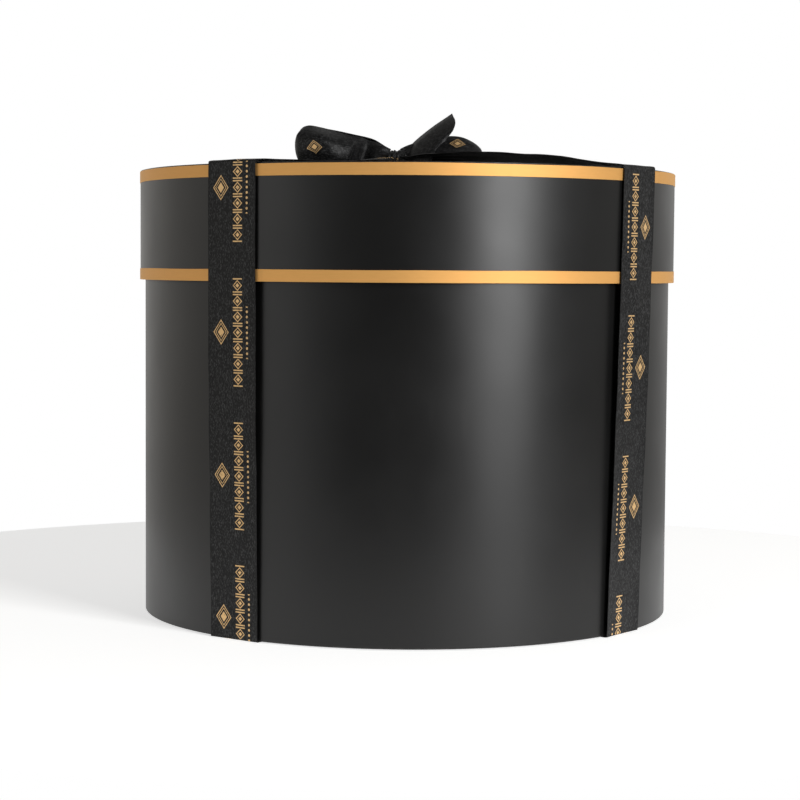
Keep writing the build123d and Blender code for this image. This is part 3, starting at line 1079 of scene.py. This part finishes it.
def lofted(sections, share_across, share_along):
    """The point on a smooth surface through sections of points, each section across the ribbon."""
    return along([along(section, share_across) for section in sections], share_along)


def over_lid(sections):
    """Sections given in millimetres from the box's axis and over the lid, in metres."""
    return [[Vector((x, y, z)) / 1000 + UP * lid_top for x, y, z in section] for section in sections]


def bow_strip(name, node, sections, station, pleated, seed):
    """One stretch of the bow, pleated over the given lengths at its two ends."""
    sections = over_lid(sections)
    middles = [along(section, 0.5) for section in sections]
    length = length_of(middles)
    start_pleats, end_pleats = pleated

    def place(u, v):
        point = lofted(sections, u, v)
        ahead = lofted(sections, u, min(v + 0.01, 1)) - lofted(sections, u, max(v - 0.01, 0))
        sideways = lofted(sections, min(u + 0.03, 1), v) - lofted(sections, max(u - 0.03, 0), v)
        face = ahead.cross(sideways).normalized()
        done = v * length
        gathered = 0.0
        if start_pleats:
            gathered = max(gathered, 1 - eased(done / start_pleats))
        if end_pleats:
            gathered = max(gathered, 1 - eased((length - done) / end_pleats))
        pleat = sin(2 * pi * BOW_PLEATS * u + 1.5 * noise.noise((u * 3, done * 40, seed)))
        lift = BOW_PLEAT_DEPTH * gathered * pleat
        lift += BOW_BUCKLE * noise.noise((u * 2.5, done * 45, seed)) * (1 - gathered)
        return point + face * lift

    shape = ribbon_shape(place, length, even_rows(length, BOW_ROW), station, across=28)
    length = round(length, 3)
    ribbon_piece(name, shape, "ribbon", [node], length, bow_face)


# The loops and tails are drawn as sections across the ribbon, from one end of it to the other,
# in millimetres from the box's axis and over the lid's top.
LEFT_LOOP = [
    [(-12, 2, 9), (-12, 3, 11.5), (-12, 4, 14), (-12, 4, 15.5), (-12, 3, 16.5), (-12, 1, 17)],
    [(-24, 5, 6.5), (-23, 10, 12), (-22, 11, 17), (-22, 11, 20), (-22, 10, 22), (-23, 6, 23.5)],
    [(-38, 9, 2.4), (-37, 16, 11), (-37, 16, 18), (-37, 15, 23), (-37, 13, 26), (-37, 8, 27)],
    [(-60, 8, 1.8), (-60, 16, 11), (-60, 16, 20), (-61, 14, 26), (-61, 12, 29), (-62, 6, 31.5)],
    [(-69.5, 2, 2), (-74, 5, 11), (-74.5, 4, 20), (-74, 3, 26), (-73, 2, 29.2), (-71, 1.5, 31.2)],
    [(-71, -9, 4), (-74, -10, 12), (-75, -9, 20), (-74.4, -7.5, 25.5), (-72.5, -5.5, 28.6), (-67, 1, 32.4)],
    [
        (-61, -15, 6.5), (-62, -17.5, 12), (-61.5, -18.5, 17),
        (-60.5, -18, 23), (-59.5, -16, 25.6), (-60, 3, 31.4),
    ],
    [(-51, -16, 5.5), (-51, -19, 9), (-51, -20.4, 13), (-51, -20, 18), (-50.5, -17.5, 22), (-50, 1.5, 29)],
    [
        (-43, -12, 3), (-40, -14.5, 8), (-38.5, -15.4, 12),
        (-38, -14.5, 16), (-38, -12, 19.4), (-38, -2, 25.6),
    ],
    [(-39.5, -6, 5), (-38.5, -8, 9), (-37.2, -9, 13), (-36, -8, 16.6), (-34.5, -5.5, 20.5), (-31.5, 0, 25)],
    [(-31, 1, 8), (-30, 1, 11), (-29, 1, 14), (-28, 1, 17), (-27.5, 2, 20), (-27, 4, 23)],
    [(-23.5, -4, 8.5), (-21.5, -6.5, 11), (-19.5, -7, 14), (-18.5, -6, 17), (-19, -4, 19), (-20, 0, 21)],
    [
        (-12.5, -5, 8.5), (-12.5, -7, 10.5), (-12.5, -7.5, 12.5),
        (-12.5, -7, 14), (-12.5, -5, 15.6), (-12.5, -2, 16.6),
    ],
]
bow_strip("bow_left_loop", "bow_loop_left", LEFT_LOOP, 0.0975, (0.020, 0.010), 3.1)

RIGHT_LOOP = [
    [(-5, -3, 12), (-5, -1, 15), (-5, 1, 16.5), (-5, 3, 16), (-5, 5, 13)],
    [(4, -6, 13), (4, -2, 18), (4, 3, 21), (4, 8, 19.5), (4, 13, 14)],
    [(19, -14, 13.4), (20, -8, 18.5), (20, -1, 24.5), (20, 7, 24), (20, 16, 17)],
    [(33, -17, 13.6), (34, -10, 19), (35, -3, 24.6), (34, 6, 25.2), (34, 17, 18.5)],
    [(43.5, -16, 14.0), (45, -10, 16.8), (45.5, -3, 19.8), (44, 7, 22), (43, 17, 17)],
    [(48, -14, 12.5), (50, -9, 13.8), (50.2, -1, 15.8), (48.8, 8, 16.5), (47, 16, 13.5)],
    [(45, -13, 10), (46.5, -7, 10), (46.5, 1, 10), (46, 10, 10), (44, 17, 9.5)],
    [(32, -13, 11.6), (32, -6, 9.8), (32, 1, 8.8), (32, 9, 8.8), (32, 17, 9.6)],
    [(14, -10, 12), (14, -5, 11), (14, 0, 10.2), (14, 6, 10.2), (14, 12, 11)],
    [(-4, -4, 11.8), (-4, -2, 11.2), (-4, 0, 10.7), (-4, 2, 11.2), (-4, 4, 11.8)],
]
bow_strip("bow_right_loop", "bow_loop_right", RIGHT_LOOP, 0.041, (0.012, 0.020), 7.7)


# Bow tails
# The cut ends of the same ribbon. One stands up in front of the right loop with its side curled
# back, and the other falls away over the lid behind.
RAISED_TAIL = [
    [(-9, -4, 11), (-8, -5.5, 10), (-7, -6, 9), (-6.5, -6, 8), (-6, -5, 7.5)],
    [
        (-1.5, -4, 9.5), (1.5, -11, 8.2), (5.5, -16, 7.2),
        (10, -20.5, 6.6), (14.5, -23, 7.2), (14.5, -19, 6.6),
    ],
    [
        (-0.6, 2, 14.5), (3, -7, 13.8), (7, -14.5, 12),
        (12, -20, 10.8), (16.8, -21.5, 12.3), (16.5, -16, 13.8),
    ],
    [(4, 5, 21.5), (7, -4, 20.5), (11.5, -13, 17.8), (16, -18.5, 16), (20.5, -18, 17.6), (19, -11, 20)],
    [(14.6, 9, 30.4), (16.5, 0, 28.8), (19.5, -9, 25.4), (23, -15, 22.4), (26, -14, 23.2), (24, -7.5, 26)],
    [
        (30.2, 11, 41.5), (30.6, 3, 39.5), (31.8, -5, 36.2),
        (31.9, -11, 32.8), (30.2, -14.5, 28.6), (28.3, -9, 27.5),
    ],
]
bow_strip("bow_raised_tail", "bow_tail_right", RAISED_TAIL, 0.050, (0.016, 0), 5.2)

BACK_TAIL = [
    [(-5, 5, 14.5), (-7, 6, 15.5), (-8.5, 6.5, 15), (-10, 6, 15.5), (-12, 5, 14.5)],
    [(-1, 24, 12), (-5, 25, 15), (-10, 26, 13.5), (-15, 26, 15), (-19, 25, 12)],
    [(4, 46, 7.5), (-4, 47, 9.5), (-12, 48, 8.8), (-21, 48, 9.5), (-29, 46, 7.5)],
    [(5, 64, 2.2), (-4, 66, 3.8), (-13, 67, 3.2), (-23, 67, 4), (-32, 65, 2.2)],
    [(5, 84, 0.9), (-4, 81, 1.8), (-14, 78, 1.4), (-24, 81, 2.4), (-33, 85, 1.2)],
]
bow_strip("bow_back_tail", "bow_tail_back", BACK_TAIL, 0.030, (0.022, 0), 9.4)


# Knot
# A turn of the same ribbon, pulled tight round the necks of the loops and gathered lengthways
# into a few deep pleats. It is fullest at its middle.
KNOT_SPAN = 0.0115
KNOT_RISE = 0.0056
KNOT_DEEP = 0.0085
KNOT_TAPER = 0.22
KNOT_PLEATS = 3.5
KNOT_PLEAT_DEPTH = 0.09
KNOT_CRUMPLE = 0.06
KNOT_SKEW = 0.0016
KNOT_ROW = 0.0006
KNOT_STATION = 0.045
knot_heart = Vector((KNOT.x, KNOT.y, (knot_low.z + knot_high.z) / 2))


def knot_place(u, v):
    """The ribbon gathered tight round the necks of the loops."""
    turn = 2 * pi * v
    fullness = 1 - KNOT_TAPER * abs(2 * u - 1) ** 2
    pleat = 1 + KNOT_PLEAT_DEPTH * sin(2 * pi * KNOT_PLEATS * u + 0.8 * sin(turn))
    pleat += KNOT_CRUMPLE * noise.noise((u * 3, cos(turn), sin(turn)))
    offset = Vector((0, -KNOT_DEEP * cos(turn), KNOT_RISE * sin(turn))) * (fullness * pleat)
    skew = KNOT_SKEW * sin(turn)
    return knot_heart + offset + Vector(((u - 0.5) * KNOT_SPAN + skew, 0, 0))


knot_length = 2 * pi * (KNOT_RISE + KNOT_DEEP) / 2
knot_rows = even_rows(knot_length, KNOT_ROW)
knot_shape = ribbon_shape(knot_place, knot_length, knot_rows, KNOT_STATION)
bmesh.ops.remove_doubles(knot_shape, verts=knot_shape.verts, dist=1e-6)
bmesh.ops.recalc_face_normals(knot_shape, faces=knot_shape.faces)
knot_piece = finish_piece(
    "bow_knot_band", knot_shape, [ribbon_face, ribbon_back], RIBBON, "ribbon", "ribbon", ["bow_knot"]
)
